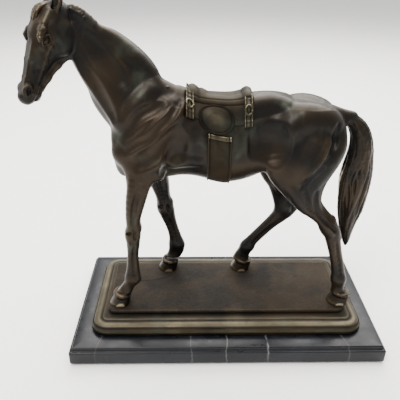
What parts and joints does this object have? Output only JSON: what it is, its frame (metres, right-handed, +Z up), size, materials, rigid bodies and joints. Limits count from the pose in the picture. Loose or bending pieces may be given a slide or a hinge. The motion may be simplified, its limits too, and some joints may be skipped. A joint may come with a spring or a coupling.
{
  "type": "bronze horse statue",
  "caption": "Cast bronze walking horse with a racing saddle, assembled from sleeved castings on a moulded bronze plinth and a stepped black marble slab.",
  "frame": {"origin": "centre of the underside of the felt sheet, on the surface that the statue stands on", "axes": "+Z up; the horse faces -X; its near (left) side, the side shown to the viewer, is -Y"},
  "size_m": [0.369, 0.174, 0.3698],
  "materials": {
    "bronze_patina": "dark brown wax patina over cast bronze, rubbed lighter on the high spots",
    "saddle_bronze": "brown patina rubbed to olive on the upper faces",
    "plinth_bronze": "olive brown patina, rubbed golden along the mouldings",
    "ground_bronze": "stippled dark brown patina",
    "rubbed_brass": "bare metal where the patina is rubbed through",
    "black_marble": "polished black marble with a few fine white veins",
    "green_felt": "pressed felt",
    "zinc_steel": "plain zinc plate"
  },
  "bodies": {
    "root": {"far_fore_leg": "bronze_patina", "far_fore_nut": "zinc_steel", "far_fore_pin": "zinc_steel", "far_fore_stud": "zinc_steel", "far_fore_washer": "zinc_steel", "far_front_dee": "rubbed_brass", "far_front_strap": "saddle_bronze", "far_girth_buckle": "rubbed_brass", "far_hind_leg": "bronze_patina", "far_hind_nut": "zinc_steel", "far_hind_pin": "zinc_steel", "far_hind_stud": "zinc_steel", "far_hind_washer": "zinc_steel", "far_rear_dee": "rubbed_brass", "far_rear_strap": "saddle_bronze", "far_saddle_flap": "saddle_bronze", "felt_sheet": "green_felt", "girth_strap": "saddle_bronze", "ground_plate": "ground_bronze", "head_casting": "bronze_patina", "head_pin": "zinc_steel", "left_bolt_washer": "zinc_steel", "left_plinth_bolt": "zinc_steel", "marble_slab": "black_marble", "near_fore_leg": "bronze_patina", "near_fore_nut": "zinc_steel", "near_fore_pin": "zinc_steel", "near_fore_stud": "zinc_steel", "near_fore_washer": "zinc_steel", "near_front_dee": "rubbed_brass", "near_front_strap": "saddle_bronze", "near_girth_buckle": "rubbed_brass", "near_hind_leg": "bronze_patina", "near_hind_nut": "zinc_steel", "near_hind_pin": "zinc_steel", "near_hind_stud": "zinc_steel", "near_hind_washer": "zinc_steel", "near_rear_dee": "rubbed_brass", "near_rear_strap": "saddle_bronze", "near_saddle_flap": "saddle_bronze", "neck_casting": "bronze_patina", "neck_pin": "zinc_steel", "plinth_casting": "plinth_bronze", "right_bolt_washer": "zinc_steel", "right_plinth_bolt": "zinc_steel", "saddle_pad": "saddle_bronze", "saddle_seat": "saddle_bronze", "tail_casting": "bronze_patina", "tail_pin": "zinc_steel", "trunk_casting": "bronze_patina"}
  },
  "joints": []
}
